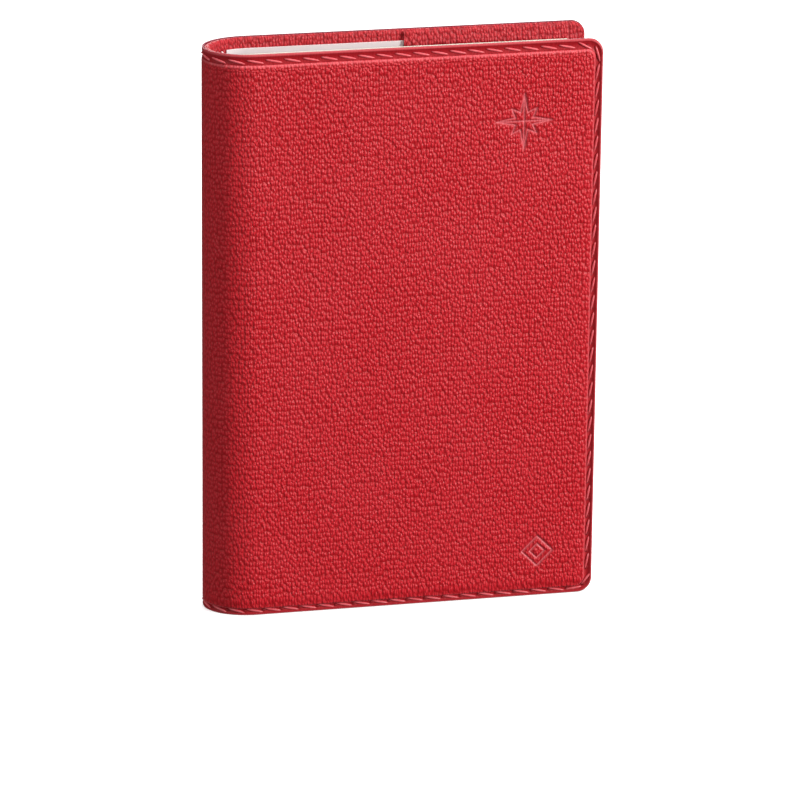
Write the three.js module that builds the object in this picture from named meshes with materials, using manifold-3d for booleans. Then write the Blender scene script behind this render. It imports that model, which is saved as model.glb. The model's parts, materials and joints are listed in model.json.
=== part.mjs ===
// Pocket notebook: a soft grained slip cover around a sewn refill in a white card cover.
// Millimetres, +Z up. It stands on its tail edges, with the front cover towards -Y, the rounded
// spine towards -X and the fore-edge towards +X. The origin is at the bottom centre of its box.
//
// Every layer follows the wall of the cover: half an ellipse round the spine, then a flat panel.
// An angle on the ellipse is measured in degrees from the crown of the spine, where it is 0, to the
// start of the front panel, where it is 90. A depth is measured inwards from the outer face.
import * as THREE from 'three'
import { mergeVertices } from 'three/addons/utils/BufferGeometryUtils.js'
import Module from 'manifold-3d'

const wasm = await Module()
wasm.setup()

// ---- driving dimensions: slip cover ----
const COVER_HEIGHT = 156
const COVER_DEPTH = 21.5
const PANEL_WIDTH = 92.8
const SPINE_BULGE = 13.2
const CORNER_RADIUS = 4
const SMALLEST_RADIUS = 0.5
const SKIN = 0.8
const PADDING = 0.85
const LINING = 0.45
const BORDER = 2.6
const LINING_INSET = 0.4
const FLAP_WIDTH = 50
const FLAP = 0.75
const CREASE_ANGLE = 46

// ---- driving dimensions: refill ----
const SECTION_COUNT = 8
const SECTION = 1.3
const NECK = 0.25
const NECK_LENGTH_PER_THICKNESS = 2.6
const CARD = 0.35
const MULL = 0.15
const MULL_INSET = 9
const THREAD = 0.3
const THREAD_COUNT = 5
const THREAD_END_INSET = 18
const LEAF_CORNER_RADIUS = 2.5
const CARD_START_ANGLE = 62
const REFILL_SPINE_ANGLE = 52

// ---- clearances ----
const LAYER_GAP = 0.05
const CREASE_GAP_ANGLE = 1.4
const POCKET_CLEARANCE = 0.5
const PADDING_CLEARANCE = 0.15
const PAGE_CLEARANCE = 0.2
const LEAF_INSET = 0.3
const FORE_EDGE_INSET = 1.2
const REFILL_SPINE_CLEARANCE = 0.3
const SIDE_CLEARANCE = 0.3

// ---- how finely the curves are cut ----
const ARC_STEPS = 14
const CORNER_STEPS = 6
const ROD_SIDES = 8

// ---- depths, worked out from the layers ----
const WALL = SKIN + LAYER_GAP + PADDING + LAYER_GAP + LINING
const CARD_DEPTH = WALL + LAYER_GAP
const FLAP_DEPTH = CARD_DEPTH + CARD + LAYER_GAP
const PAGE_DEPTH = FLAP_DEPTH + FLAP + PAGE_CLEARANCE

const material = (color, roughness) => new THREE.MeshStandardMaterial({ color, roughness, metalness: 0 })
const grainedRed = material(0xb9232f, 0.5)
const liningRed = material(0xc03a45, 0.6)
const paddingGrey = material(0x8f8a86, 0.9)
const whiteCard = material(0xf3ecea, 0.8)
const ivoryPaper = material(0xefe9da, 0.85)
const gauze = material(0xe4dfd0, 0.95)
const linenThread = material(0xf0ede4, 0.7)

// ---- solids ----
const toSolid = (geometry) => {
  const bare = geometry.index ? geometry.toNonIndexed() : geometry.clone()
  bare.deleteAttribute('normal')
  bare.deleteAttribute('uv')
  const merged = mergeVertices(bare)
  return new wasm.Manifold(new wasm.Mesh({
    numProp: 3,
    vertProperties: new Float32Array(merged.attributes.position.array),
    triVerts: new Uint32Array(merged.index.array),
  }))
}

const toGeometry = (solid) => {
  const mesh = solid.getMesh()
  const geometry = new THREE.BufferGeometry()
  geometry.setAttribute('position', new THREE.BufferAttribute(new Float32Array(mesh.vertProperties), 3))
  geometry.setIndex(new THREE.BufferAttribute(new Uint32Array(mesh.triVerts), 1))
  geometry.computeVertexNormals()
  return geometry
}

// An outline in plan, pulled up from one height to another.
const pulledUp = (outline, bottom, top) => {
  const geometry = new THREE.ExtrudeGeometry(new THREE.Shape(outline), { depth: top - bottom, bevelEnabled: false })
  return geometry.translate(0, 0, bottom)
}

// The side view of the closed cover, less an inset at head and tail and one at the fore-edge, as a
// block through the whole depth. Layers are cut to it, so that their corners are round.
const sideView = (inset, cornerRadius, foreEdgeInset = inset) => {
  const right = PANEL_WIDTH - foreEdgeInset
  const low = inset
  const high = COVER_HEIGHT - inset
  const left = -2 * SPINE_BULGE
  const shape = new THREE.Shape()
  shape.moveTo(left, low)
  shape.lineTo(right - cornerRadius, low)
  shape.absarc(right - cornerRadius, low + cornerRadius, cornerRadius, -Math.PI / 2, 0, false)
  shape.absarc(right - cornerRadius, high - cornerRadius, cornerRadius, 0, Math.PI / 2, false)
  shape.lineTo(left, high)
  const settings = { depth: 2 * COVER_DEPTH, bevelEnabled: false, curveSegments: CORNER_STEPS }
  const block = new THREE.ExtrudeGeometry(shape, settings)
  return toSolid(block.rotateX(Math.PI / 2).translate(0, 1.5 * COVER_DEPTH, 0))
}

const insetRadius = (inset) => Math.max(CORNER_RADIUS - inset, SMALLEST_RADIUS)

// ---- the wall of the cover in plan ----
const wallPoint = (angle, depth) => {
  const turn = THREE.MathUtils.degToRad(angle)
  const halfDepth = COVER_DEPTH / 2
  const normal = new THREE.Vector2(-halfDepth * Math.cos(turn), -SPINE_BULGE * Math.sin(turn)).normalize()
  const outside = new THREE.Vector2(-SPINE_BULGE * Math.cos(turn), halfDepth - halfDepth * Math.sin(turn))
  return outside.addScaledVector(normal, -depth)
}

const wallArc = (fromAngle, toAngle, depth) => Array.from({ length: ARC_STEPS + 1 }, (_, step) =>
  wallPoint(THREE.MathUtils.lerp(fromAngle, toAngle, step / ARC_STEPS), depth))

const toBack = (outline) => outline.map((point) => new THREE.Vector2(point.x, COVER_DEPTH - point.y)).reverse()

// One layer of the front cover in plan, from an angle on the spine to the fore-edge.
const coverOutline = (fromAngle, outerDepth, innerDepth) => {
  const edge = PANEL_WIDTH + 1
  const outer = [...wallArc(fromAngle, 90, outerDepth), new THREE.Vector2(edge, outerDepth)]
  const inner = [...wallArc(fromAngle, 90, innerDepth), new THREE.Vector2(edge, innerDepth)]
  return [...outer, ...inner.reverse()]
}

const spineOutline = (outerDepth, innerDepth) => {
  const end = CREASE_ANGLE - CREASE_GAP_ANGLE / 2
  return [...wallArc(-end, end, outerDepth), ...wallArc(-end, end, innerDepth).reverse()]
}

const plateOutline = (fromX, outerDepth, innerDepth) => [
  new THREE.Vector2(fromX, outerDepth),
  new THREE.Vector2(PANEL_WIDTH + 1, outerDepth),
  new THREE.Vector2(PANEL_WIDTH + 1, innerDepth),
  new THREE.Vector2(fromX, innerDepth),
]

const fullHeight = (outline) => toSolid(pulledUp(outline, -1, COVER_HEIGHT + 1))

// A sheet cut to the side view, with its edges folded in over the width of the border.
const foldedEdgeSheet = (sheetOutline, foldOutline, inset) => {
  const cut = sideView(inset, insetRadius(inset))
  const fold = fullHeight(foldOutline).intersect(cut).subtract(sideView(BORDER, insetRadius(BORDER)))
  return toGeometry(fullHeight(sheetOutline).intersect(cut).add(fold))
}

const cutSheet = (outline, inset) =>
  toGeometry(fullHeight(outline).intersect(sideView(inset, insetRadius(inset))))

// ---- the book ----
const notebook = new THREE.Group()
notebook.name = 'pocket_notebook'
notebook.position.set((SPINE_BULGE - PANEL_WIDTH) / 2, -COVER_DEPTH / 2, 0)

const add = (name, geometry, finish) => {
  const mesh = new THREE.Mesh(geometry, finish)
  mesh.name = name
  notebook.add(mesh)
}

// ---- slip cover ----
const foldDepths = [SKIN / 2, WALL - LINING - LAYER_GAP]
const paddingDepths = [SKIN + LAYER_GAP, SKIN + LAYER_GAP + PADDING]
const liningDepths = [WALL - LINING, WALL]

const addCover = (side, turned) => {
  const start = CREASE_ANGLE + CREASE_GAP_ANGLE / 2
  const layer = (depths) => turned(coverOutline(start, ...depths))
  add(`${side}_cover_skin`, foldedEdgeSheet(layer([0, SKIN]), layer(foldDepths), 0), grainedRed)
  add(`${side}_cover_padding`, cutSheet(layer(paddingDepths), BORDER + PADDING_CLEARANCE), paddingGrey)
  add(`${side}_cover_lining`, cutSheet(layer(liningDepths), LINING_INSET), liningRed)

  const flapStart = PANEL_WIDTH - FLAP_WIDTH
  const flap = turned(plateOutline(flapStart, FLAP_DEPTH, FLAP_DEPTH + FLAP))
  const flapFold = turned(plateOutline(flapStart, CARD_DEPTH, FLAP_DEPTH + FLAP / 2))
  add(`${side}_pocket_flap`, foldedEdgeSheet(flap, flapFold, LINING_INSET), liningRed)
}

const addSpine = () => {
  add('spine_skin', foldedEdgeSheet(spineOutline(0, SKIN), spineOutline(...foldDepths), 0), grainedRed)
  add('spine_padding', cutSheet(spineOutline(...paddingDepths), BORDER + PADDING_CLEARANCE), paddingGrey)
  add('spine_lining', cutSheet(spineOutline(...liningDepths), LINING_INSET), liningRed)
}

// ---- refill ----
const cardInset = BORDER + POCKET_CLEARANCE
const leafInset = cardInset + LEAF_INSET

const addCard = (side, turned) => {
  const outline = turned(coverOutline(CARD_START_ANGLE, CARD_DEPTH, CARD_DEPTH + CARD))
  const cut = sideView(cardInset, LEAF_CORNER_RADIUS)
  add(`${side}_card`, toGeometry(fullHeight(outline).intersect(cut)), whiteCard)
}

// The card over the folds stands across the hollow of the spine, clear of the cover on both sides.
const spineCardEdge = wallPoint(REFILL_SPINE_ANGLE, WALL + REFILL_SPINE_CLEARANCE)
const mullX = spineCardEdge.x + CARD + LAYER_GAP
const threadX = mullX + MULL + LAYER_GAP
const foldX = threadX + THREAD + LAYER_GAP
const pivotX = foldX + NECK / 2
const pitch = SECTION + LAYER_GAP
const blockDepth = SECTION_COUNT * pitch - LAYER_GAP

const addSpineCard = () => {
  const width = COVER_DEPTH - 2 * spineCardEdge.y
  const card = new THREE.BoxGeometry(CARD, width, COVER_HEIGHT - 2 * cardInset)
  add('spine_card', card.translate(spineCardEdge.x + CARD / 2, COVER_DEPTH / 2, COVER_HEIGHT / 2), whiteCard)

  const mullWidth = PAGE_DEPTH + blockDepth - spineCardEdge.y
  const mull = new THREE.BoxGeometry(MULL, mullWidth, COVER_HEIGHT - 2 * (leafInset + MULL_INSET))
  add('spine_mull', mull.translate(mullX + MULL / 2, spineCardEdge.y + mullWidth / 2, COVER_HEIGHT / 2), gauze)
}

const addThreads = () => {
  const length = blockDepth - 2 * SIDE_CLEARANCE
  const lowest = leafInset + THREAD_END_INSET
  const step = (COVER_HEIGHT - 2 * lowest) / (THREAD_COUNT - 1)
  for (let number = 1; number <= THREAD_COUNT; number++) {
    const rod = new THREE.CylinderGeometry(THREAD / 2, THREAD / 2, length, ROD_SIDES)
    rod.translate(threadX + THREAD / 2, PAGE_DEPTH + blockDepth / 2, lowest + step * (number - 1))
    add(`sewing_thread_${number}`, rod, linenThread)
  }
}

// A section is thin at its fold and opens to its full thickness within the neck, so that the
// sections can fan out about their folds.
const sectionOutline = (middle) => {
  const neckLength = NECK_LENGTH_PER_THICKNESS * SECTION
  const half = [
    [foldX, NECK / 4],
    [pivotX, NECK / 2],
    [pivotX + neckLength, SECTION / 2],
    [PANEL_WIDTH, SECTION / 2],
  ]
  const front = half.map(([x, offset]) => new THREE.Vector2(x, middle - offset))
  const back = half.map(([x, offset]) => new THREE.Vector2(x, middle + offset))
  return [...front, ...back.reverse()]
}

const addSections = () => {
  const cut = sideView(leafInset, LEAF_CORNER_RADIUS, cardInset + FORE_EDGE_INSET)
  for (let number = 1; number <= SECTION_COUNT; number++) {
    const middle = PAGE_DEPTH + SECTION / 2 + pitch * (number - 1)
    const solid = fullHeight(sectionOutline(middle)).intersect(cut)
    add(`section_${number}`, toGeometry(solid), ivoryPaper)
  }
}

addCover('front', (outline) => outline)
addCover('back', toBack)
addSpine()
addCard('front', (outline) => outline)
addCard('back', toBack)
addSpineCard()
addThreads()
addSections()

export default notebook
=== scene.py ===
"""Pocket notebook: a grained slip cover with a rounded spine around a sewn refill.

Every size is in metres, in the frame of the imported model: +Z up, the front cover towards -Y, the
spine towards -X and the fore-edge towards +X.

The cover's sheets are laid out flat and wrapped on. A flat place is (along, up): `along` runs from
the crown of the spine over the bulge and the panel to the fore-edge, and `up` is the height. A depth
is measured inwards from the cover's outer face, and an inset inwards from the cover's outline.
"""

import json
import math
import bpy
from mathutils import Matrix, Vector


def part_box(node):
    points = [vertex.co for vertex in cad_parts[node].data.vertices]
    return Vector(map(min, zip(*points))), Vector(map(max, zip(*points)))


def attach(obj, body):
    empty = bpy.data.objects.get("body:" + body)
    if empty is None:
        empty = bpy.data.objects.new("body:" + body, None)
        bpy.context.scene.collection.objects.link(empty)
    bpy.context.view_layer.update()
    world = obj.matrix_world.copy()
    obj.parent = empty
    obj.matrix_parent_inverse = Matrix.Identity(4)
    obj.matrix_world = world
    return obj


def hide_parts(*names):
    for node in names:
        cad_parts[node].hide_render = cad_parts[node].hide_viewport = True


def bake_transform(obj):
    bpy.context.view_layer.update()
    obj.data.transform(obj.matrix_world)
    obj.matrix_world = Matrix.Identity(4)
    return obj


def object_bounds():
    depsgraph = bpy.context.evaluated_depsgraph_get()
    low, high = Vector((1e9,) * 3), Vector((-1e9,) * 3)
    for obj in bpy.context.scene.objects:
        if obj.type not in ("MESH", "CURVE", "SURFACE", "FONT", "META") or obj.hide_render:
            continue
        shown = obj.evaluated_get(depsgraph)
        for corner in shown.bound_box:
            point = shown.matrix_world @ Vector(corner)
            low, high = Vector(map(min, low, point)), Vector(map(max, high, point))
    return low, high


bl_info = {
    "name": "Pocket notebook",
    "version": (1, 0, 0),
    "blender": (4, 5, 0),
    "location": "View3D > Sidebar > Notebook",
    "description": "Builds a slip-cover notebook around its packed frame",
    "category": "Add Mesh",
}

import bmesh
import bpy
import numpy as np
from mathutils import Matrix, Vector

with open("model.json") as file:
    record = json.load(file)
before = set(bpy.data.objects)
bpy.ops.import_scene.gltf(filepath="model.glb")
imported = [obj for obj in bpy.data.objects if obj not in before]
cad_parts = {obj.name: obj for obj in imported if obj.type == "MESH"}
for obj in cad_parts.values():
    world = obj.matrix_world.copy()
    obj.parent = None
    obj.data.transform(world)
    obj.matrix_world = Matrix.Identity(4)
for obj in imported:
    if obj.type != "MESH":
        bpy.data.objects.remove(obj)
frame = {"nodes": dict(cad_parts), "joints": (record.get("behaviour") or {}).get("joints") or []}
CAD_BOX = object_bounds()
MM = 0.001
SIDES = {"front": 1, "back": -1}
# How far a place is pressed, lit with painted highlight and darkened with painted shade, each as a
# share from 0 to 1.
PRESSING_AND_PAINTED_LIGHT = ("pressed", "highlit", "edge_shaded")
# How far the middle of a motif is from the fore-edge, and from the head or the tail.
STAR_PLACE = (21.4 * MM, 21.5 * MM)
LOZENGE_PLACE = (15.7 * MM, 13.1 * MM)
# How far apart the columns and rows are that run through the motifs.
MOTIF_STEP = 0.17 * MM


# ---------------- sizes and colours


def length(name, description, millimetres):
    return bpy.props.FloatProperty(
        name=name, description=description, default=millimetres * MM, unit="LENGTH", precision=5
    )


def ratio(name, description, default):
    return bpy.props.FloatProperty(name=name, description=description, default=default)


def angle(name, description, degrees):
    return bpy.props.FloatProperty(
        name=name, description=description, default=math.radians(degrees), subtype="ANGLE"
    )


def colour(name, description, default):
    return bpy.props.FloatVectorProperty(
        name=name, description=description, default=default, subtype="COLOR", size=3, min=0, max=1
    )


class NotebookCover(bpy.types.PropertyGroup):
    """Sizes and colours of the slip cover"""

    spine_bulge: length("Spine bulge", "How far the spine stands out past the flat panels", 13.2)
    corner_radius: length("Corner radius", "Radius of the fore-edge corners", 4)
    margin: length("Margin", "Width of the shaped margin round the flat middle of a cover", 6)
    border: length("Border", "Width of the pressed border round the padded panel", 2.3)
    border_depth: length("Border depth", "How far the border is pressed below the panel", 0.85)
    shoulder: length("Shoulder", "Width of the rounded edge of the padded panel", 0.75)
    head_share: ratio("Head share", "Width of the border at the head, in border widths", 1.24)
    tail_share: ratio("Tail share", "Width of the border at the tail, in border widths", 0.8)
    fore_share: ratio("Fore share", "Width of the border at the fore-edge, in border widths", 0.94)
    wall: length("Wall", "Whole thickness of a cover, skin to lining", 2.2)
    lining: length("Lining", "Thickness of the lining", 0.45)
    turned_depth: length("Turned depth", "How far in the skin's turned edge reaches", 1.38)
    flap: length("Flap", "Thickness of a pocket flap", 0.75)
    motif_size: length("Motif size", "Width of the pressed star", 15)
    lozenge_size: length("Lozenge size", "Width of the pressed lozenge", 8.5)
    motif_depth: length("Motif depth", "Depth of the pressed lines", 0.32)
    stitch_inset: length("Stitch inset", "Distance from the outline to the seam", 1.58)
    stitch_pitch: length("Stitch pitch", "Distance from one stitch to the next", 4.9)
    stitch_length: length("Stitch length", "Length of one stitch", 4.7)
    stitch_width: length("Stitch width", "Width of one stitch", 0.62)
    stitch_height: length("Stitch height", "Height of one stitch", 0.8)
    stitch_slant: angle("Stitch slant", "Turn of a stitch off the seam", 12)
    grain_size: length("Grain size", "Width of one pebble of the grain", 0.76)
    grain_depth: length("Grain depth", "Height of the grain", 0.33)
    skin_colour: colour("Skin colour", "Colour of the leather", (0.63, 0.007, 0.017))
    # Painted shade between the pebbles and painted highlight on their crests.
    crease_colour: colour("Crease colour", "Colour between the pebbles", (0.46, 0.002, 0.007))
    crest_colour: colour("Crest colour", "Colour on top of the pebbles", (0.72, 0.042, 0.058))
    # Painted highlight: this colour lightens the motif lines, the crest of the panel's shoulder, the
    # bead and the stitches.
    rubbed_colour: colour("Highlight colour", "Colour where the leather is rubbed", (0.80, 0.16, 0.18))
    # Painted shade: this colour darkens the turned edge behind the bead.
    ink_colour: colour("Edge shade colour", "Colour of the top of the turned edge", (0.13, 0.006, 0.022))
    lining_colour: colour("Lining colour", "Colour of the lining and the pockets", (0.51, 0.018, 0.027))


class NotebookRefill(bpy.types.PropertyGroup):
    """Sizes and colours of the refill"""

    leaves_per_section: bpy.props.IntProperty(
        name="Leaves per section", description="Leaves in one sewn section", default=16, min=2
    )
    leaf_share: ratio("Leaf share", "Share of the room for a leaf that its paper fills", 0.86)
    fold_reach: length("Fold reach", "How far past its fold a leaf bends", 3.0)
    ruling: length("Ruling", "Distance between the ruled lines", 6.0)
    paper_colour: colour("Paper colour", "Colour of the leaves", (0.84, 0.79, 0.68))
    ruling_colour: colour("Ruling colour", "Colour of the ruled lines", (0.50, 0.55, 0.62))
    # The pink tint of the card colour is painted light: red light bounced on to the white card from the
    # leather.
    card_colour: colour("Card colour", "Colour of the card cover", (0.84, 0.77, 0.77))


class NotebookStage(bpy.types.PropertyGroup):
    """Camera, floor and light"""

    camera_place: bpy.props.FloatVectorProperty(
        name="Camera place", description="Where the camera stands", default=(-0.3046, -1.3180, 0.5131),
        size=3, unit="LENGTH",
    )
    camera_turn: angle("Camera turn", "Turn of the view from +Y towards +X", 13.06)
    camera_tilt: angle("Camera tilt", "Downward tilt of the view", 18.70)
    camera_roll: angle("Camera roll", "Roll of the view", 0.605)
    lens: bpy.props.FloatProperty(
        name="Lens", description="Focal length in millimetres on a 36 mm sensor", default=238.4, min=1
    )
    floor_colour: colour("Floor colour", "Colour of the floor", (0.93, 0.93, 0.93))


def cover_settings():
    return bpy.context.scene.notebook_cover


def refill_settings():
    return bpy.context.scene.notebook_refill


# ---------------- materials


def shaded(base, share):
    """A colour with a share of its light."""
    return [share * channel for channel in base]


class Nodes:
    """A node tree, with one method that adds a node with its settings and inputs."""

    def join(self, value, socket):
        """Links an output to an input, or sets the input to a value."""
        value = getattr(value, "socket", value)
        if isinstance(value, bpy.types.NodeSocket):
            self.tree.links.new(value, socket)
        else:
            socket.default_value = value

    def node(self, kind, settings, inputs, named):
        """A new node. Its inputs are given in order, or by name with underscores for spaces."""
        node = self.tree.nodes.new(kind)
        for key, value in settings.items():
            setattr(node, key, value)
        for place, value in [*enumerate(inputs), *named.items()]:
            place = place.replace("_", " ") if isinstance(place, str) else place
            self.join(value, node.inputs[place])
        return node


class Value:
    """A number in a material. Python arithmetic on it adds the Math nodes."""

    def __init__(self, shader, socket):
        self.shader = shader
        self.socket = socket

    def math(self, operation, *others):
        return self.shader.add("ShaderNodeMath", {"operation": operation}, self, *others)

    def __add__(self, other):
        return self.math("ADD", other)

    def __mul__(self, other):
        return self.math("MULTIPLY", other)

    def __sub__(self, other):
        return self.math("SUBTRACT", other)

    def __rsub__(self, other):
        return self.shader.add("ShaderNodeMath", {"operation": "SUBTRACT"}, other, self)

    def __truediv__(self, other):
        return self.math("DIVIDE", other)

    __radd__ = __add__

    def above(self, low, high):
        """0 up to low and 1 from high on, with a smooth rise between."""
        settings = {"interpolation_type": "SMOOTHSTEP"}
        return self.shader.add("ShaderNodeMapRange", settings, self, low, high)


class Shader(Nodes):
    """A node material. Its nodes hand on their outputs as values."""

    def __init__(self, name):
        self.material = bpy.data.materials.new(name)
        self.material.use_nodes = True
        self.tree = self.material.node_tree
        self.surface = self.tree.nodes["Principled BSDF"]

    def add(self, kind, settings, *inputs, output=0, **named):
        return Value(self, self.node(kind, settings, inputs, named).outputs[output])

    def set(self, **inputs):
        """Sets or links the surface's inputs, named with underscores for spaces."""
        for name, value in inputs.items():
            self.join(value, self.surface.inputs[name.replace("_", " ")])

    def place(self, uv=None):
        """The place on the piece: in its own UV map, or in object coordinates."""
        if uv:
            return self.add("ShaderNodeUVMap", {"uv_map": uv})
        return self.add("ShaderNodeTexCoord", {}, output="Object")

    def axes(self, place):
        """The three coordinates of a place."""
        return [self.add("ShaderNodeSeparateXYZ", {}, place, output=axis) for axis in "XYZ"]

    def scaled(self, place, scale):
        return self.add("ShaderNodeVectorMath", {"operation": "MULTIPLY"}, place, scale)

    def mix(self, share, first, second):
        """Two colours mixed by a share from 0 to 1."""
        node = self.tree.nodes.new("ShaderNodeMix")
        node.data_type = "RGBA"
        sockets = {s.identifier: s for s in node.inputs}
        self.join(share, sockets["Factor_Float"])
        for value, name in ((first, "A_Color"), (second, "B_Color")):
            self.join(value if isinstance(value, Value) else (*value, 1), sockets[name])
        result = next(s for s in node.outputs if s.identifier == "Result_Color")
        return Value(self, result)

    def noise(self, place, scale, detail=2.0):
        return self.add("ShaderNodeTexNoise", {}, place, Scale=scale, Detail=detail)

    def bump(self, height, distance):
        return self.add("ShaderNodeBump", {}, Height=height, Distance=distance)


def pebbles(shader, place, size):
    """Heights of a pebbled grain from 0 in the creases to about 1 on the crests."""
    width_to_height = 0.56
    flat = shader.scaled(place, (1 / size, width_to_height / size, 0))
    wander = shader.add("ShaderNodeTexNoise", {}, flat, Scale=1.1, Detail=1.0, output="Color")
    drift = shader.scaled(wander, (0.6, 0.5, 0))
    moved = shader.add("ShaderNodeVectorMath", {"operation": "ADD"}, flat, drift)
    settings = {"voronoi_dimensions": "2D", "feature": "SMOOTH_F1"}
    spacing = {"Scale": 1.0, "Smoothness": 0.06, "Randomness": 0.7}
    lumps = shader.add("ShaderNodeTexVoronoi", settings, moved, **spacing)
    fine = shader.noise(flat, 2.6, 2.0)
    return 1.0 - lumps * 1.2 + (fine - 0.5) * 0.42


def leather(name, skin, crease, crest, shine):
    """Pebble-grained leather, darker in the creases as painted shade and lighter on the crests as
    painted highlight. The grain fades where the piece is pressed, and the pressed parts are darker as
    painted shade. A line lit with painted highlight is lighter and smoother, and painted shade darkens
    the turned edge. shine is the strength of its reflections."""
    sizes = cover_settings()
    shader = Shader(name)
    place = shader.place(uv="flat")
    pressed, highlit, edge_shaded = (
        shader.add("ShaderNodeAttribute", {"attribute_name": key}, output="Fac") for key in PRESSING_AND_PAINTED_LIGHT
    )
    grain = pebbles(shader, place, sizes.grain_size)
    blotches = shader.noise(place, 45.0, 2.0)
    # Painted shade in the creases and painted highlight on the crests of the pebbles.
    body = shader.mix(grain.above(0.3, 0.65), crease, skin)
    body = shader.mix(grain.above(0.65, 1.05) * 0.8, body, crest)
    # Painted shade: the pressed border, the panel's shoulder and the bands round the motif lines are
    # darkened.
    body = shader.mix(pressed * 0.85, body, shaded(skin, 0.56))
    # Painted highlight on the motif lines, the shoulder's crest and the bead; the same share lowers the
    # roughness.
    body = shader.mix(highlit * 0.9, body, sizes.rubbed_colour)
    # Painted shade on the turned edge.
    body = shader.mix(edge_shaded * 0.9, body, sizes.ink_colour)
    shader.set(
        Base_Color=shader.mix(blotches.above(0.35, 0.7) * 0.1, body, crest),
        Roughness=0.5 - grain * 0.08 + pressed * 0.08 - highlit * 0.2,
        Normal=shader.bump(grain * (1.0 - pressed * 0.85), sizes.grain_depth),
    )
    shader.surface.inputs["Specular IOR Level"].default_value = shine
    return shader.material


def cover_leather():
    sizes = cover_settings()
    return leather(
        "red grained leather", sizes.skin_colour, sizes.crease_colour, sizes.crest_colour, shine=0.35
    )


def lining_leather():
    skin = cover_settings().lining_colour
    # Painted highlight on the lining's crests and painted shade in its creases.
    crest = [channel + 0.03 for channel in skin]
    return leather("lining leather", skin, shaded(skin, 0.66), crest, shine=0.26)


def stitch_leather():
    """The leather where it is drawn up into stitches: smooth crests with a fine twist, lightened as
    painted highlight.
    """
    sizes = cover_settings()
    shader = Shader("stitch leather")
    place = shader.place()
    mottle = shader.noise(place, 900.0, 3.0)
    highlight_share = mottle.above(0.3, 0.7) * 0.5 + 0.4
    shader.set(
        # Painted highlight: mottled at random between the crest and highlight colours.
        Base_Color=shader.mix(highlight_share, sizes.crest_colour, sizes.rubbed_colour),
        Roughness=0.3 + mottle * 0.1,
        Normal=shader.bump(mottle, 0.05 * MM),
    )
    return shader.material


def needle_hole_shade():
    """The dip where a stitch goes through, coloured near black as painted shade."""
    sizes = cover_settings()
    shader = Shader("needle hole")
    mottle = shader.noise(shader.place(), 1200.0, 2.0)
    shader.set(
        # Painted shade: near black, mottled at random.
        Base_Color=shader.mix(mottle, shaded(sizes.crease_colour, 0.25), sizes.crease_colour),
        Roughness=0.7 + mottle * 0.1,
        Normal=shader.bump(mottle, 0.03 * MM),
    )
    return shader.material


def card_stock():
    """Smooth white card with a faint fibre."""
    sizes = refill_settings()
    shader = Shader("white card")
    place = shader.place()
    fibre = shader.noise(shader.scaled(place, (1, 1, 0.25)), 2400.0, 3.0)
    cloud = shader.noise(place, 60.0, 2.0)
    darker = shaded(sizes.card_colour, 0.93)
    shader.set(
        Base_Color=shader.mix(fibre * 0.5 + cloud * 0.4, darker, sizes.card_colour),
        Roughness=0.72 + fibre * 0.12,
        Normal=shader.bump(fibre, 0.02 * MM),
    )
    return shader.material


def ruled_paper():
    """Ivory paper with faint ruled lines inside the margins."""
    sizes = refill_settings()
    low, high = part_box("section_1")
    margin, line_share = 7 * MM, 0.016
    shader = Shader("ruled paper")
    place = shader.place()
    x, _, z = shader.axes(place)
    fibre = shader.noise(place, 3000.0, 3.0)
    across = (z / sizes.ruling).math("FRACT")
    line = (across - 0.5).math("ABSOLUTE").math("LESS_THAN", line_share)
    inside = x.math("GREATER_THAN", low.x + margin) * x.math("LESS_THAN", high.x - 0.5 * margin)
    tall = z.math("GREATER_THAN", low.z + margin) * z.math("LESS_THAN", high.z - 1.6 * margin)
    plain = shader.mix(fibre, shaded(sizes.paper_colour, 0.94), sizes.paper_colour)
    shader.set(
        Base_Color=shader.mix(line * inside * tall * 0.7, plain, sizes.ruling_colour),
        Roughness=0.82 + fibre * 0.08,
        Normal=shader.bump(fibre, 0.015 * MM),
    )
    return shader.material


def gauze():
    """A plain weave: threads over and under along the height and the depth."""
    base, pitch = (0.76, 0.73, 0.62), 0.7 * MM
    shader = Shader("gauze")
    _, y, z = shader.axes(shader.place())
    weft = (y * (math.tau / pitch)).math("SINE")
    warp = (z * (math.tau / pitch)).math("SINE")
    weave = weft * warp * 0.5 + 0.5
    shader.set(
        Base_Color=shader.mix(weave, shaded(base, 0.6), base),
        Roughness=0.9 - weave * 0.1,
        Normal=shader.bump(weave, 0.08 * MM),
    )
    return shader.material


def twisted_thread():
    """Waxed linen thread with its plies running round it."""
    shader = Shader("linen thread")
    _, y, z = shader.axes(shader.place())
    ply_width = 0.5 * MM
    plies = ((y + z * 1.5) * (math.tau / ply_width)).math("SINE") * 0.5 + 0.5
    shader.set(
        Base_Color=shader.mix(plies, (0.62, 0.58, 0.48), (0.86, 0.83, 0.74)),
        Roughness=0.7 - plies * 0.15,
        Normal=shader.bump(plies, 0.04 * MM),
    )
    return shader.material


# ---------------- the cover's wall


def joint_place(name):
    return next(joint["pos_m"] for joint in frame["joints"] if joint["name"] == name)


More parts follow.
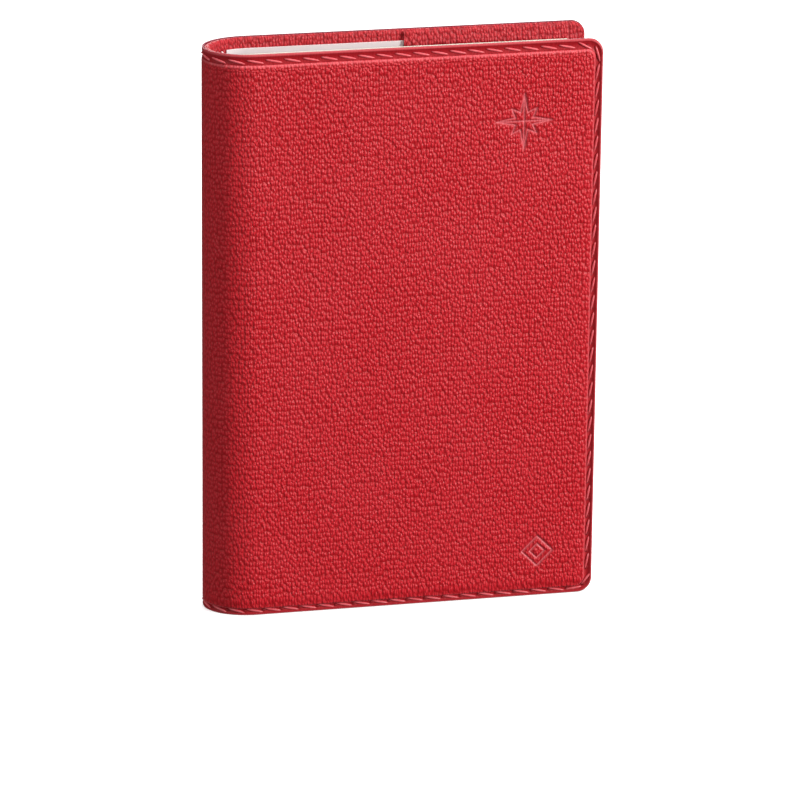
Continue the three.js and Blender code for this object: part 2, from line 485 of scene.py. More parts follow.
class Wall:
    """The cover's outer face in plan: half an ellipse round the spine, then a flat panel."""

    def __init__(self):
        low, high = CAD_BOX
        self.bulge = cover_settings().spine_bulge
        self.half_depth = (high.y - low.y) / 2
        self.height = high.z
        self.panel_start = low.x + self.bulge
        self.turns = np.linspace(0, math.pi / 2, 721)
        x, y = -self.bulge * np.cos(self.turns), -self.half_depth * np.sin(self.turns)
        self.lengths = np.concatenate([[0], np.cumsum(np.hypot(np.diff(x), np.diff(y)))])
        self.bend = self.lengths[-1]
        self.edge = self.bend + high.x - self.panel_start

    def wrap(self, along, up, depth, side):
        """The points in the frame of flat places at a depth."""
        turn = np.interp(along, self.lengths, self.turns)
        out_x, out_y = -self.half_depth * np.cos(turn), -self.bulge * np.sin(turn)
        scale = np.hypot(out_x, out_y)
        x = self.panel_start - self.bulge * np.cos(turn) + np.maximum(along - self.bend, 0)
        y = -self.half_depth * np.sin(turn)
        points = [x - depth * out_x / scale, (y - depth * out_y / scale) * side, up]
        return np.stack(np.broadcast_arrays(*points), axis=-1)

    def outward(self, along, side):
        """The direction out of the cover at a place."""
        outer, inner = (self.wrap(along, 0.0, depth, side) for depth in (0.0, MM))
        return (outer - inner) / MM

    def crease(self, side_name):
        """Two points on the wall in plan, one before a cover's crease and one after it."""
        pivot = np.array(joint_place(f"{side_name}_cover_hinge"))
        side = SIDES[side_name]
        places = np.linspace(0, self.bend, 400)
        points = self.wrap(places, pivot[2], 0.0, side)
        nearest = int(np.argmin(np.linalg.norm(points - pivot, axis=1)))
        heading = points[nearest + 1] - points[nearest - 1]
        heading /= np.linalg.norm(heading)
        before, after = 6 * MM, 3 * MM
        return pivot - before * heading, pivot + after * heading


def spread(*stops):
    """Positions through (position, step) stops: each stretch is divided by the step at its start."""
    positions = [stops[0][0]]
    for (low, step), (high, _) in zip(stops, stops[1:]):
        count = max(1, round((high - low) / step))
        positions.extend(np.linspace(low, high, count + 1)[1:])
    return np.array(positions)


def add_object(name, data):
    thing = bpy.data.objects.new(name, data)
    bpy.context.scene.collection.objects.link(thing)
    return thing


def build_mesh(name, points, faces, corner_places=None, attributes=None, caps=0):
    """A mesh object with its normals outwards. The last `caps` faces are flat, with sharp edges."""
    mesh = bpy.data.meshes.new(name)
    mesh.from_pydata(points.tolist() if isinstance(points, np.ndarray) else points, [], faces)
    if corner_places is not None:
        layer = mesh.uv_layers.new(name="flat")
        layer.data.foreach_set("uv", np.array(corner_places, np.float32).ravel())
    for key, values in (attributes or {}).items():
        mesh.attributes.new(key, "FLOAT", "POINT").data.foreach_set("value", values.astype(np.float32))
    work = bmesh.new()
    work.from_mesh(mesh)
    first_cap = len(work.faces) - caps
    work.faces.ensure_lookup_table()
    for face in work.faces:
        face.smooth = face.index < first_cap
    for edge in work.edges:
        kinds = {face.index < first_cap for face in edge.link_faces}
        edge.smooth = len(kinds) == 1
    bmesh.ops.recalc_face_normals(work, faces=work.faces)
    work.to_mesh(mesh)
    work.free()
    return add_object(name, mesh)


def side_share(u, v, inset):
    """How much an inset is widened where a spoke (u, v) points to the head, tail or fore-edge."""
    sizes = cover_settings()
    weights = np.stack([np.maximum(v, 0), np.maximum(-v, 0), u]) ** 2
    shares = np.array([sizes.head_share, sizes.tail_share, sizes.fore_share])
    share = (weights * shares[:, None]).sum(axis=0) / weights.sum(axis=0)
    fade_end, fade_width = 0.8 * sizes.margin, 0.25 * sizes.margin
    return 1 + (share - 1) * np.clip((fade_end - inset) / fade_width, 0, 1)


def wrapped_sheet(name, side, profile, columns, rows, pressing_and_painted_light=None, motif=None, ease=None):
    """A closed sheet on the cover. Its two broad faces cover the rectangle of columns by rows, and
    its margin follows the profile, which lists (inset, depth) from one broad face to the other.

    finish gives how far the margin is pressed, lit with painted highlight and darkened with painted
    shade at (inset, depth); a sheet with a finish also has its insets widened by side. motif gives the
    extra depth of the first face, how far it is pressed and how far it is lit with painted highlight,
    at (along, up). ease changes a depth along the sheet."""
    wall = Wall()
    margin, radius = cover_settings().margin, cover_settings().corner_radius
    across, tall = len(columns), len(rows)
    turns = np.linspace(0, math.pi / 2, 11)
    reach = margin - radius
    corner = [(reach + radius * math.cos(t), reach + radius * math.sin(t)) for t in turns]
    path = [(i, 0, 0.0, -margin) for i in range(across)]
    path += [(across - 1, 0, u, -v) for v, u in corner]
    path += [(across - 1, j, margin, 0.0) for j in range(tall)]
    path += [(across - 1, tall - 1, u, v) for u, v in corner]
    path += [(i, tall - 1, 0.0, margin) for i in reversed(range(across))]
    anchors = np.array([(columns[i], rows[j]) for i, j, _, _ in path])
    spokes = np.array([(u, v) for _, _, u, v in path])

    insets, depths = np.array(profile).T
    shares = [side_share(*spokes.T, inset) if pressing_and_painted_light else np.ones(len(path)) for inset in insets]
    widths = [inset * share for inset, share in zip(insets, shares)]
    travelled = np.concatenate([[0], np.cumsum(np.hypot(np.diff(insets), np.diff(depths)))]) / margin
    unrolled = [anchors + spokes * distance for distance in travelled]
    grid_places = np.stack(np.meshgrid(columns, rows, indexing="ij"), -1).reshape(-1, 2)
    plain = np.zeros(across * tall)
    extra, face_pressed, face_highlit = motif(*grid_places.T) if motif else (plain, plain, plain)
    margin_rings = list(zip(insets, depths))[1:-1]
    flat_rings = [anchors + spokes * (1 - width / margin)[:, None] for width in widths[1:-1]]
    places = np.concatenate([grid_places, *flat_rings, grid_places])
    ring_levels = np.repeat(depths[1:-1], len(path))
    levels = np.concatenate([depths[0] + extra, ring_levels, plain + depths[-1]])
    if ease:
        levels = ease(places[:, 0], levels)
    points = wall.wrap(places[:, 0], places[:, 1], levels, side)

    grid = np.arange(across * tall).reshape(across, tall)
    other = grid + len(points) - across * tall
    rings = [np.array([grid[i, j] for i, j, _, _ in path])]
    rings += [np.arange(len(path)) + across * tall + k * len(path) for k in range(len(margin_rings))]
    rings += [np.array([other[i, j] for i, j, _, _ in path])]

    faces, corners = [], []

    def add_face(indices, spots):
        kept = [k for k in range(len(indices)) if indices[k] != indices[k - 1]]
        faces.append([int(indices[k]) for k in kept])
        corners.extend([tuple(spots[k]) for k in kept])

    for broad, shift in ((grid, 0.0), (other, 0.4)):
        for i in range(across - 1):
            for j in range(tall - 1):
                turn = ((i, j), (i + 1, j), (i + 1, j + 1), (i, j + 1))
                spots = [(columns[a] + shift, rows[b]) for a, b in turn]
                add_face([broad[spot] for spot in turn], spots)
    for k in range(len(rings) - 1):
        for p in range(len(path) - 1):
            turn = ((k, p), (k + 1, p), (k + 1, p + 1), (k, p + 1))
            add_face([rings[a][b] for a, b in turn], [unrolled[a][b] for a, b in turn])
    for j in range(tall - 1):
        quad = [grid[0, j], grid[0, j + 1], other[0, j + 1], other[0, j]]
        add_face(quad, [(columns[0], rows[j]), (columns[0], rows[j + 1])] * 2)
    for end in (0, -1):
        add_face([ring[end] for ring in rings], [place[end] for place in unrolled])

    edge = [pressing_and_painted_light(*ring) if pressing_and_painted_light else (0.0, 0.0, 0.0) for ring in margin_rings]
    first_face = (face_pressed, face_highlit, plain)
    attributes = {
        key: np.concatenate([face, np.repeat(ring_shares, len(path)), plain])
        for key, ring_shares, face in zip(PRESSING_AND_PAINTED_LIGHT, zip(*edge), first_face)
    }
    return build_mesh(name, points, faces, corners, attributes, caps=tall + 1)


def finish_piece(piece, material, slot, *replaced):
    """Gives a piece, or a part of the frame, its material, and hides the frame's parts that it
    replaces. The slot is not used.
    """
    piece.data.materials.clear()
    piece.data.materials.append(material)
    if replaced:
        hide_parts(*replaced)


def bend_at_crease(piece, side_name):
    """Bakes the piece's placement into its mesh. The ends of its cover's crease are found but not used,
    and the piece does not bend.
    """
    start, end = Wall().crease(side_name)
    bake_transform(piece)


# ---------------- pressed motifs


def line_distance(x, y, start, end):
    """Distance from points to a straight line between two points."""
    dx, dy = end[0] - start[0], end[1] - start[1]
    share = np.clip(((x - start[0]) * dx + (y - start[1]) * dy) / (dx * dx + dy * dy), 0, 1)
    return np.hypot(x - start[0] - share * dx, y - start[1] - share * dy)


def star_lines(size):
    """An eight-pointed star: its outline, and a line from the middle to each long point."""
    long_tip, notch, short_tip = 0.5, 0.17, 0.32
    radii = [long_tip, notch, short_tip, notch]
    steps = 16
    tips = []
    for step in range(steps):
        turn = math.tau * step / steps + math.pi / 2
        reach = size * radii[step % len(radii)]
        tips.append((reach * math.cos(turn), reach * math.sin(turn)))
    outline = [(tips[k], tips[(k + 1) % steps]) for k in range(steps)]
    return outline + [((0, 0), tips[k]) for k in range(0, steps, 4)]


def lozenge_lines(size):
    """Two lozenges, one inside the other."""
    lines = []
    outer, inner = 0.5 * size, 0.24 * size
    for reach in (outer, inner):
        tips = [(reach, 0), (0, reach), (-reach, 0), (0, -reach)]
        lines += [(tips[k], tips[(k + 1) % 4]) for k in range(4)]
    return lines


def front_motifs(along, up):
    """Extra depth of the front panel at its motifs, how far it is pressed there, and how far its lines
    are lit with painted highlight.
    """
    sizes = cover_settings()
    wall = Wall()
    half_line = 0.21 * MM
    half_calm = 2.8 * half_line
    star_in, star_down = STAR_PLACE
    lozenge_in, lozenge_up = LOZENGE_PLACE
    motifs = (
        (star_lines(sizes.motif_size), wall.edge - star_in, wall.height - star_down),
        (lozenge_lines(sizes.lozenge_size), wall.edge - lozenge_in, lozenge_up),
    )
    nearest = np.full(len(along), 1.0)
    for lines, middle, level in motifs:
        for start, end in lines:
            nearest = np.minimum(nearest, line_distance(along - middle, up - level, start, end))
    line = np.exp(-((nearest / half_line) ** 2))
    calm = np.exp(-((nearest / half_calm) ** 2))
    return sizes.motif_depth * line, 0.85 * calm, line


# ---------------- cover pieces


def skin_profile():
    """The margin of the skin: padded shoulder, pressed border with a groove, bead, and turned edge."""
    sizes = cover_settings()
    low, border, margin, seam = sizes.border_depth, sizes.border, sizes.margin, sizes.stitch_inset
    inside = sizes.wall - sizes.lining
    groove_half, groove_depth = 0.6 * MM, 0.2 * MM
    panel = [(margin, 0.0), (margin - 1.2 * MM, 0.0)]
    panel += [
        (border + sizes.shoulder * (1 - math.sin(turn)), low * (1 - math.cos(turn)))
        for turn in np.radians([0, 18, 34, 48, 60, 71, 81])
    ]
    border_floor = [(border - 0.02 * MM, low)]
    border_floor += [
        (seam - groove_half * math.cos(turn), low + groove_depth * math.sin(turn))
        for turn in np.radians([170, 150, 125, 95, 65, 35, 10])
    ]
    border_floor += [
        (0.88 * MM, low + 0.02 * MM), (0.76 * MM, low - 0.05 * MM),
        (0.65 * MM, low - 0.17 * MM), (0.55 * MM, low - 0.26 * MM),
    ]
    bead_top, bend, turned = low - 0.3 * MM, 0.45 * MM, sizes.turned_depth
    rim = [
        (bend * (1 - math.sin(turn)), bead_top + bend * (1 - math.cos(turn)))
        for turn in np.radians([0, 22, 45, 67, 90])
    ]
    rim += [
        (0.0, turned - 0.25 * MM), (0.04 * MM, turned - 0.1 * MM),
        (0.16 * MM, turned - 0.02 * MM), (0.38 * MM, turned),
    ]
    tucked = [(0.45 * MM, turned + 0.1 * MM), (0.47 * MM, inside), (margin, inside - 0.05 * MM)]
    return panel + border_floor + rim + tucked


def eased(along, depth):
    """The depth after the border and the turned edge grow shallow towards the crown of the spine."""
    border_left, turned_left = 0.12, 0.45
    sizes = cover_settings()
    low, turned, full = sizes.border_depth, sizes.turned_depth, sizes.wall
    share = np.clip(along / Wall().bend, 0, 1)
    share = share * share * (3 - 2 * share)
    new_low = low * (border_left + (1 - border_left) * share)
    new_turned = turned * (turned_left + (1 - turned_left) * share)
    outer = depth / low * new_low
    middle = new_low + (depth - low) / (turned - low) * (new_turned - new_low)
    inner = new_turned + (depth - turned) / (full - turned) * (full - new_turned)
    return np.where(depth < low, outer, np.where(depth < turned, middle, inner))


def panel_columns(fine):
    """Columns from the crown to the fore-edge. The columns through the motifs can be fine ones."""
    wall = Wall()
    inner = wall.edge - cover_settings().margin
    near, far = wall.edge - 29.5 * MM, wall.edge - 11 * MM
    step = MOTIF_STEP if fine else MM
    return spread(
        (0.0, 0.12 * MM), (0.12 * MM, 0.5 * MM), (wall.bend, 1.1 * MM),
        (near, step), (far, MM), (inner, MM),
    )


def panel_rows(fine):
    """Rows up a panel. The rows through the motifs can be fine ones."""
    height, margin = Wall().height, cover_settings().margin
    if not fine:
        return spread((margin, 1.2 * MM), (height - margin, MM))
    return spread(
        (margin, 0.8 * MM), (8.4 * MM, MOTIF_STEP), (17.8 * MM, 1.1 * MM),
        (height - 29.5 * MM, MOTIF_STEP), (height - 13.5 * MM, 1.1 * MM), (height - margin, MM),
    )


def edge_pressing_and_painted_light(inset, depth):
    """How far the skin is pressed flat, lit with painted highlight and darkened with painted shade at a
    place, each from 0 to 1.
    """
    sizes = cover_settings()
    crest, crest_width = sizes.border + 0.3 * sizes.shoulder, 0.22 * MM
    pressed = np.clip((sizes.border + sizes.shoulder + 0.3 * MM - inset) / sizes.shoulder, 0, 1)
    if inset > sizes.border and depth < sizes.border_depth:
        # Painted highlight along the crest of the panel's shoulder.
        return 0.45 * pressed, 0.6 * math.exp(-(((inset - crest) / crest_width) ** 2)), 0.0
    bead_width, edge_shade_start, edge_shade_fade = 0.5 * MM, sizes.border_depth - 0.05 * MM, 0.12 * MM
    if inset >= bead_width:
        return pressed, 0.0, 0.0
    # Painted highlight on the bead, and painted shade from the outer round of the bead into the turned
    # edge.
    return pressed, 0.3, np.clip((depth - edge_shade_start) / edge_shade_fade, 0, 1)


def add_skin(side_name):
    fine = side_name == "front"
    return wrapped_sheet(
        f"{side_name}_cover_leather", SIDES[side_name], skin_profile(),
        panel_columns(fine), panel_rows(fine),
        pressing_and_painted_light=edge_pressing_and_painted_light, motif=front_motifs if fine else None, ease=eased,
    )


def add_lining(side_name):
    """A lining, rounded over at the outline and turned down on to the skin's edge."""
    sizes = cover_settings()
    face, turned = sizes.wall, sizes.turned_depth
    back = face - sizes.lining + 0.01 * MM
    profile = [
        (sizes.margin, face), (1.1 * MM, face), (0.7 * MM, face - 0.02 * MM),
        (0.42 * MM, face - 0.1 * MM), (0.25 * MM, face - 0.25 * MM), (0.19 * MM, face - 0.45 * MM),
        (0.2 * MM, turned + 0.14 * MM), (0.28 * MM, turned + 0.06 * MM),
        (0.4 * MM, turned + 0.04 * MM), (0.49 * MM, turned + 0.1 * MM),
        (0.5 * MM, back), (sizes.margin, back),
    ]
    return wrapped_sheet(
        f"{side_name}_lining_sheet", SIDES[side_name], profile,
        panel_columns(False), panel_rows(False), ease=eased,
    )


def add_flap(side_name):
    """A pocket flap, standing off the lining by the card behind it and sewn down at the border."""
    sizes, wall = cover_settings(), Wall()
    low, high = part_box(f"{side_name}_pocket_flap")
    face = (high.y if side_name == "front" else -low.y) + wall.half_depth
    under = face - sizes.flap
    foot = sizes.wall + 0.03 * MM
    edge_face = foot + 0.8 * sizes.flap
    slope = [
        (inset * MM, face + (edge_face - face) * (1 - math.cos(math.pi * share)) / 2)
        for inset, share in ((4.6, 0.0), (3.9, 0.15), (3.2, 0.35), (2.5, 0.58), (1.8, 0.8), (1.2, 0.95))
    ]
    profile = [(sizes.margin, face), *slope]
    profile += [
        (0.85 * MM, edge_face), (0.68 * MM, edge_face - 0.05 * MM), (0.57 * MM, edge_face - 0.18 * MM),
        (0.54 * MM, foot + 0.15 * MM), (0.62 * MM, foot), (2.4 * MM, foot), (2.8 * MM, foot + 0.2 * MM),
        (3.2 * MM, under - 0.02 * MM), (sizes.margin, under),
    ]
    start = low.x - CAD_BOX[1].x + wall.edge
    columns = spread((start, 0.12 * MM), (start + 0.5 * MM, MM), (wall.edge - sizes.margin, MM))
    return wrapped_sheet(f"{side_name}_pocket", SIDES[side_name], profile, columns, panel_rows(False))


# ---------------- stitches


class Tree(Nodes):
    """A Geometry Nodes tree with its sizes and materials as named inputs."""

    def __init__(self, name, sizes, materials):
        self.tree = bpy.data.node_groups.new(name, "GeometryNodeTree")
        interface = self.tree.interface
        interface.new_socket("Geometry", in_out="INPUT", socket_type="NodeSocketGeometry")
        interface.new_socket("Geometry", in_out="OUTPUT", socket_type="NodeSocketGeometry")
        self.identifiers = {}
        kinds = dict.fromkeys(sizes, "NodeSocketFloat") | dict.fromkeys(materials, "NodeSocketMaterial")
        for key, kind in kinds.items():
            socket = interface.new_socket(key, in_out="INPUT", socket_type=kind)
            self.identifiers[key] = socket.identifier
        self.entry = self.tree.nodes.new("NodeGroupInput")
        self.exit = self.tree.nodes.new("NodeGroupOutput")

    def given(self, name):
        return self.entry.outputs[name]

    def add(self, kind, settings, *inputs, **named):
        return self.node(kind, settings, inputs, named).outputs[0]

    def bake(self, thing, values):
        """Runs the tree on an object and leaves the result as its plain mesh."""
        modifier = thing.modifiers.new("build", "NODES")
        modifier.node_group = self.tree
        for key, value in values.items():
            modifier[self.identifiers[key]] = value
        bpy.context.view_layer.update()
        evaluated = thing.evaluated_get(bpy.context.evaluated_depsgraph_get())
        made = bpy.data.meshes.new_from_object(evaluated)
        thing.modifiers.remove(modifier)
        path_mesh = thing.data
        thing.data = made
        bpy.data.meshes.remove(path_mesh)
        return thing


def stitch_tree():
    """Slanted stitches with a needle hole between each two, along a path whose points carry the
    direction out of the cover."""
    tree = Tree("stitches", ("Pitch", "Length", "Width", "Height", "Slant"), ("Leather", "Hole"))
    seam = tree.add("GeometryNodeMeshToCurve", {}, tree.given("Geometry"))
    outward = tree.add("GeometryNodeInputNamedAttribute", {"data_type": "FLOAT_VECTOR"}, Name="outward")
    heading = tree.add("GeometryNodeInputTangent", {})
    axes = {"primary_axis": "Z", "secondary_axis": "X"}
    turned = tree.add("FunctionNodeAxesToRotation", axes, Primary_Axis=outward, Secondary_Axis=heading)
    slant = tree.add("FunctionNodeAxisAngleToRotation", {}, Axis=(0, 0, 1), Angle=tree.given("Slant"))
    turned = tree.add("FunctionNodeRotateRotation", {"rotation_space": "LOCAL"}, turned, slant)
    pitch = tree.given("Pitch")

    def laid(along, size, segments, rings, material):
        """A rounded grain of a size on each point of a seam, one pitch apart."""
        points = tree.add("GeometryNodeResampleCurve", {"mode": "LENGTH"}, along, Length=pitch)
        grain = tree.add("GeometryNodeMeshUVSphere", {}, Segments=segments, Rings=rings, Radius=0.5)
        grain = tree.add("GeometryNodeTransform", {}, grain, Scale=size)
        copies = tree.add("GeometryNodeInstanceOnPoints", {}, points, Instance=grain, Rotation=turned)
        solid = tree.add("GeometryNodeRealizeInstances", {}, copies)
        smooth = tree.add("GeometryNodeSetShadeSmooth", {}, solid)
        return tree.add("GeometryNodeSetMaterial", {}, smooth, Material=tree.given(material))

    size = tree.add("ShaderNodeCombineXYZ", {}, *map(tree.given, ("Length", "Width", "Height")))
    half_pitch = tree.add("ShaderNodeMath", {"operation": "MULTIPLY"}, pitch, 0.5)
    shifted = tree.add("GeometryNodeTrimCurve", {"mode": "LENGTH"}, seam)
    whole = tree.add("GeometryNodeCurveLength", {}, seam)
    ends = {"Start": half_pitch, "End": whole}
    for socket in shifted.node.inputs:
        if socket.enabled and socket.name in ends:
            tree.join(ends[socket.name], socket)
    hole_size = (1.1 * MM, 0.75 * MM, 0.22 * MM)
    stitches = laid(seam, size, 10, 8, "Leather")
    holes = laid(shifted, hole_size, 8, 6, "Hole")
    joined = tree.add("GeometryNodeJoinGeometry", {}, stitches)
    tree.join(holes, joined.node.inputs[0])
    tree.join(joined, tree.exit.inputs[0])
    return tree


def seam_path(name, side):
    """The line of the stitches round one cover, from crown to crown, as a mesh of edges."""
    sizes, wall = cover_settings(), Wall()
    inset, radius = sizes.stitch_inset, sizes.corner_radius
    depth, least_depth = sizes.border_depth + 0.06 * MM, 0.3 * MM
    start = sizes.stitch_pitch / 2
    straight = spread((start, MM), (wall.edge - radius, MM))
    turns = np.linspace(0, math.pi / 2, 7)[1:-1]
    tail = [(along, radius, 0.0, -1.0) for along in straight]
    corner = wall.edge - radius
    low = [(corner, radius, math.sin(t), -math.cos(t)) for t in turns]
    rise = [(corner, up, 1.0, 0.0) for up in spread((radius, MM), (wall.height - radius, MM))]
    high = [(corner, wall.height - radius, u, -v) for _, _, u, v in reversed(low)]
    head = [(along, wall.height - radius, 0.0, 1.0) for along in reversed(straight)]
    path = np.array(tail + low + rise + high + head)
    spokes = path[:, 2:]
    places = path[:, :2] + spokes * (radius - inset * side_share(*spokes.T, inset))[:, None]
    depths = np.maximum(eased(places[:, 0], np.full(len(places), depth)), least_depth)
    points = wall.wrap(places[:, 0], places[:, 1], depths, side)
    mesh = bpy.data.meshes.new(name)
    mesh.from_pydata(points.tolist(), [(k, k + 1) for k in range(len(points) - 1)], [])
    outward = wall.outward(places[:, 0], side)
    mesh.attributes.new("outward", "FLOAT_VECTOR", "POINT").data.foreach_set("vector", outward.ravel())
    return add_object(name, mesh)


def add_stitches(side_name, tree, leather_material, hole_material):
    sizes, side = cover_settings(), SIDES[side_name]
    path = seam_path(f"{side_name}_cover_stitches", side)
    values = {
        "Pitch": sizes.stitch_pitch, "Length": sizes.stitch_length, "Width": sizes.stitch_width,
        "Height": sizes.stitch_height, "Slant": -sizes.stitch_slant * side,
        "Leather": leather_material, "Hole": hole_material,
    }
    return tree.bake(path, values)


# ---------------- refill


def folded_sheet(offset, thickness, fold, fore_edge, middle, levels):
    """One folded sheet of paper as points and faces: two leaves joined round the fold.

    levels lists (height, cut), where cut is how far the corner's rounding takes the fore-edge in."""
    bend_steps = 4
    straight = [fold + reach * MM for reach in (0, 0.6, 1.2, 1.8, 2.5, 3.4, 5, 9, 20, 45)]
    turns = np.linspace(math.pi / 2, 1.5 * math.pi, bend_steps + 1)[1:-1]
    loops = []
    for level, cut in levels:
        run = [*straight, fore_edge - cut]
        outline = []
        for reach, sign in ((offset + thickness / 2, 1), (offset - thickness / 2, -1)):
            front = [(x, middle - reach) for x in reversed(run)]
            round_fold = [(fold + reach * math.cos(t), middle - reach * math.sin(t)) for t in turns]
            back = [(x, middle + reach) for x in run]
            path = front + round_fold + back
            outline += path if sign > 0 else path[::-1]
        loops.append([(x, y, level) for x, y in outline])
    count = len(loops[0])
    points = [point for loop in loops for point in loop]
    faces = []
    for k in range(len(loops) - 1):
        low, high = k * count, (k + 1) * count
        for p in range(count):
            q = (p + 1) % count
            faces.append((low + p, low + q, high + q, high + p))
    half = count // 2
    for base in (0, (len(loops) - 1) * count):
        for p in range(half - 1):
            faces.append((base + p, base + p + 1, base + count - 2 - p, base + count - 1 - p))
    return points, faces


def add_section(number, chance):
    """A sewn section: folded sheets inside each other, trimmed at head, tail and fore-edge."""
    sizes = refill_settings()
    low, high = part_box(f"section_{number}")
    sheets = sizes.leaves_per_section // 2
    thickness = (high.y - low.y) / 2
    room = thickness / sheets
    middle = (low.y + high.y) / 2
    fold = low.x + thickness
    radius, most_trim = 2.5 * MM, 0.07
    turns = np.radians([0, 22, 45, 67, 90])
    rounding = [(radius * (1 - math.cos(t)), radius * (1 - math.sin(t))) for t in turns]
    points, faces = [], []
    for sheet in range(sheets):
        trim = chance.uniform(0, most_trim) * MM
        levels = [(low.z + trim + rise, cut) for rise, cut in rounding]
        levels += [(high.z - trim - rise, cut) for rise, cut in reversed(rounding)]
        made, its_faces = folded_sheet(
            (sheet + 0.5) * room, room * sizes.leaf_share, fold, high.x - trim, middle, levels
        )
        faces += [tuple(index + len(points) for index in face) for face in its_faces]
        points += made
    piece = build_mesh(f"section_{number}_leaves", points, faces)
    for polygon in piece.data.polygons:
        polygon.use_smooth = False
    return piece


def bend_at_fold(piece, number):
    x, y, z = joint_place(f"leaves_{number}_fold")
    reach = refill_settings().fold_reach
    x - 0.8 * reach
    x + reach
    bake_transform(piece)


# ---------------- operators


# The lamps: the place and the width in metres, and the power in watts.
LAMPS = {
    "key": ((1.1, -0.8, 0.42), 0.28, 21.6),
    "top": ((0.1, -0.1, 1.1), 0.5, 9.2),
    "fill": ((-0.9, -0.6, 0.35), 0.7, 3.6),
    "back": ((0.35, 1.3, 0.8), 0.8, 11.0),
}
BACKGROUND_STRENGTH = 0.14


class NOTEBOOK_OT_stage(bpy.types.Operator):
    """Set the camera, the floor, the background and the lights"""

    bl_idname = "notebook.stage"
    bl_label = "Stage"

    def execute(self, context):
        settings = context.scene.notebook_stage
        self.add_camera(context.scene, settings)
        self.add_floor(settings)
        for name, lamp in LAMPS.items():
            self.add_light(name, *lamp)
        self.add_world(context.scene)
        context.scene.view_settings.view_transform = "Standard"
        return {"FINISHED"}

    def add_camera(self, scene, settings):
        turn, tilt, roll = settings.camera_turn, settings.camera_tilt, settings.camera_roll
        flat = math.cos(tilt)
        ahead = Vector((math.sin(turn) * flat, math.cos(turn) * flat, -math.sin(tilt)))
        level = Vector((math.cos(turn), -math.sin(turn), 0))
        upright = level.cross(ahead)
        right = level * math.cos(roll) + upright * math.sin(roll)
        up = upright * math.cos(roll) - level * math.sin(roll)
        data = bpy.data.cameras.new("camera")
        data.lens = settings.lens
        data.sensor_width = 36
        data.clip_end = 20
        camera = add_object("camera", data)
        axes = Matrix((right, up, -ahead)).transposed().to_4x4()
        camera.matrix_world = Matrix.Translation(settings.camera_place) @ axes
        scene.camera = camera

    def add_floor(self, settings):
        reach = 4.0
        points = [(-reach, -reach, 0), (reach, -reach, 0), (reach, reach, 0), (-reach, reach, 0)]
        floor = build_mesh("floor", points, [(0, 1, 2, 3)])
        shader = Shader("floor")
        tone = shader.noise(shader.place(), 3.0)
        darker = shaded(settings.floor_colour, 0.985)
        base = shader.mix(tone, darker, settings.floor_colour)
        shader.set(Base_Color=base, Roughness=0.6)
        shader.set(Emission_Color=(1, 1, 1, 1), Emission_Strength=0.5)
        floor.data.materials.append(shader.material)
        floor.visible_diffuse = False
        floor.visible_glossy = False

    def add_light(self, name, place, size, power):
        data = bpy.data.lights.new(name, "AREA")
        data.size = size
        data.energy = power
        light = add_object(name, data)
        toward = Vector((0, 0, CAD_BOX[1].z / 2)) - Vector(place)
        turn = toward.to_track_quat("-Z", "Y").to_matrix().to_4x4()
        light.matrix_world = Matrix.Translation(place) @ turn

    def add_world(self, scene):
        world = bpy.data.worlds.new("studio")
        world.use_nodes = True
        background = world.node_tree.nodes["Background"]
        background.inputs["Color"].default_value = (1, 1, 1, 1)
        background.inputs["Strength"].default_value = BACKGROUND_STRENGTH
        scene.world = world


class NOTEBOOK_OT_cover(bpy.types.Operator):
    """Make the leather of both covers and the spine, with its padded panels and pressed border"""

    bl_idname = "notebook.cover"
    bl_label = "Cover leather"

    def execute(self, context):
        material = cover_leather()
        for side_name in SIDES:
            skin = add_skin(side_name)
            parts = (f"{side_name}_cover", "spine")
            layers = [f"{part}_{layer}" for part in parts for layer in ("skin", "padding")]
            finish_piece(skin, material, "cover_skin", *layers)
            bend_at_crease(skin, side_name)
        return {"FINISHED"}


class NOTEBOOK_OT_stitches(bpy.types.Operator):
    """Lay the stitches round the border of both covers"""

    bl_idname = "notebook.stitches"
    bl_label = "Stitches"

    def execute(self, context):
        tree, thread, hole = stitch_tree(), stitch_leather(), needle_hole_shade()
        for side_name in SIDES:
            stitches = add_stitches(side_name, tree, thread, hole)
            bend_at_crease(stitches, side_name)
        return {"FINISHED"}


class NOTEBOOK_OT_lining(bpy.types.Operator):
    """Make the linings and the pocket flaps"""

    bl_idname = "notebook.lining"
    bl_label = "Linings and pockets"

    def execute(self, context):
        material = lining_leather()
        for side_name in SIDES:
            lining = add_lining(side_name)
            finish_piece(lining, material, "lining", f"{side_name}_cover_lining", "spine_lining")
            bend_at_crease(lining, side_name)
            flap = add_flap(side_name)
            finish_piece(flap, material, "lining", f"{side_name}_pocket_flap")
            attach(flap, f"{side_name}_cover")
        return {"FINISHED"}


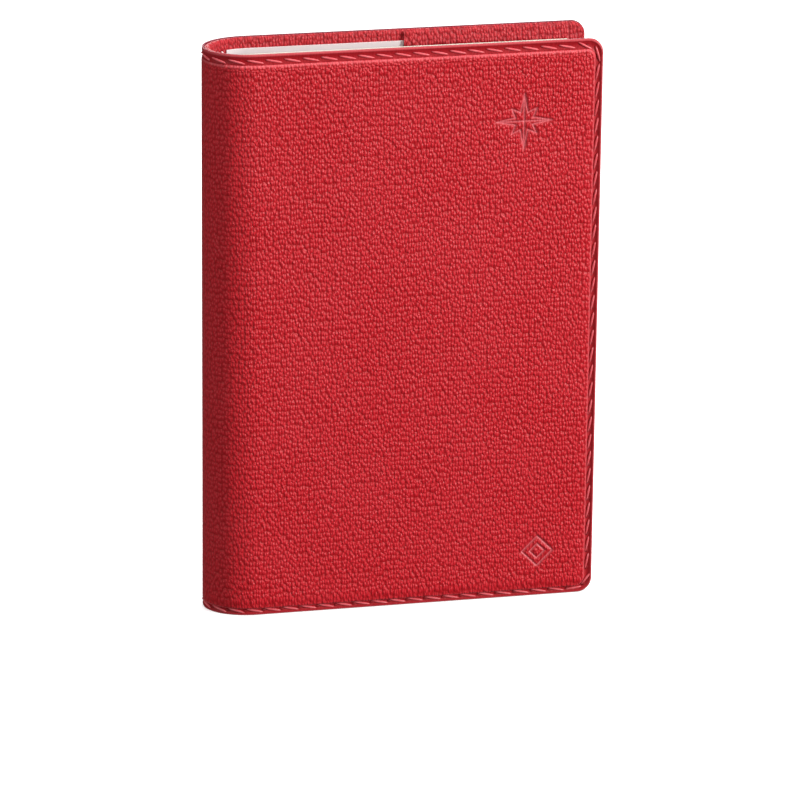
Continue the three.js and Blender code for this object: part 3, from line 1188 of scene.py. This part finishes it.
class NOTEBOOK_OT_leaves(bpy.types.Operator):
    """Make the leaves, section by section"""

    bl_idname = "notebook.leaves"
    bl_label = "Leaves"

    def execute(self, context):
        material = ruled_paper()
        chance = np.random.default_rng(7)
        sections = sorted(name for name in frame["nodes"] if name.startswith("section_"))
        for number in range(1, len(sections) + 1):
            leaves = add_section(number, chance)
            finish_piece(leaves, material, "paper", f"section_{number}")
            bend_at_fold(leaves, number)
        return {"FINISHED"}


class NOTEBOOK_OT_binding(bpy.types.Operator):
    """Finish the card cover, the gauze and the sewing threads of the refill"""

    bl_idname = "notebook.binding"
    bl_label = "Card and binding"

    def execute(self, context):
        card, thread = card_stock(), twisted_thread()
        nodes = frame["nodes"]
        for place in ("front", "spine", "back"):
            finish_piece(nodes[f"{place}_card"], card, "card")
        finish_piece(nodes["spine_mull"], gauze(), "mull")
        for name, node in nodes.items():
            if name.startswith("sewing_thread_"):
                finish_piece(node, thread, "thread")
        return {"FINISHED"}


OPERATORS = (
    NOTEBOOK_OT_stage, NOTEBOOK_OT_cover, NOTEBOOK_OT_stitches, NOTEBOOK_OT_lining,
    NOTEBOOK_OT_leaves, NOTEBOOK_OT_binding,
)
SETTINGS = {
    "notebook_cover": NotebookCover, "notebook_refill": NotebookRefill, "notebook_stage": NotebookStage,
}


class NOTEBOOK_PT_panel(bpy.types.Panel):
    """The notebook's sizes, colours and pieces"""

    bl_idname = "NOTEBOOK_PT_panel"
    bl_label = "Pocket notebook"
    bl_space_type = "VIEW_3D"
    bl_region_type = "UI"
    bl_category = "Notebook"

    def draw(self, context):
        for key, group in SETTINGS.items():
            box = self.layout.box()
            for name in group.__annotations__:
                box.prop(getattr(context.scene, key), name)
        for operator in OPERATORS:
            self.layout.operator(operator.bl_idname)


def register():
    for group in (*SETTINGS.values(), *OPERATORS, NOTEBOOK_PT_panel):
        bpy.utils.register_class(group)
    for key, group in SETTINGS.items():
        setattr(bpy.types.Scene, key, bpy.props.PointerProperty(type=group))


def unregister():
    for key in SETTINGS:
        delattr(bpy.types.Scene, key)
    for group in reversed((*SETTINGS.values(), *OPERATORS, NOTEBOOK_PT_panel)):
        bpy.utils.unregister_class(group)


def main():
    register()
    for operator in OPERATORS:
        family, name = operator.bl_idname.split(".")
        getattr(getattr(bpy.ops, family), name)()


if __name__ == "__main__":
    main()
